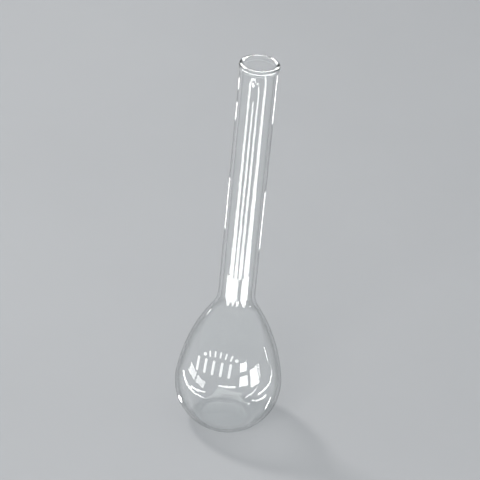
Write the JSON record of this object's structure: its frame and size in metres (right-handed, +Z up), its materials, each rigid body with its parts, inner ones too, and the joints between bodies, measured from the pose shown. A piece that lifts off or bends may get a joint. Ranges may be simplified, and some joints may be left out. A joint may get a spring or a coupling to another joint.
{
  "type": "volumetric flask",
  "caption": "Clear glass laboratory flask with a pear-shaped body, flat base, long parallel neck and beaded open mouth.",
  "frame": {"origin": "middle of the base, level with the surface the flask stands on", "axes": "+Z up along the flask's axis of revolution, out of the mouth; the printed marks face -Y"},
  "size_m": [0.0584, 0.0584, 0.218],
  "materials": {
    "glass": "clear, fire-polished borosilicate glass",
    "enamel": "fired white enamel print, slightly rough"
  },
  "bodies": {
    "root": {"rim_bead": "glass", "neck_tube": "glass", "throat": "glass", "shoulder": "glass", "ball": "glass", "base": "glass", "enamel_dots": "enamel", "enamel_ticks": "enamel", "enamel_bars": "enamel"}
  },
  "joints": []
}
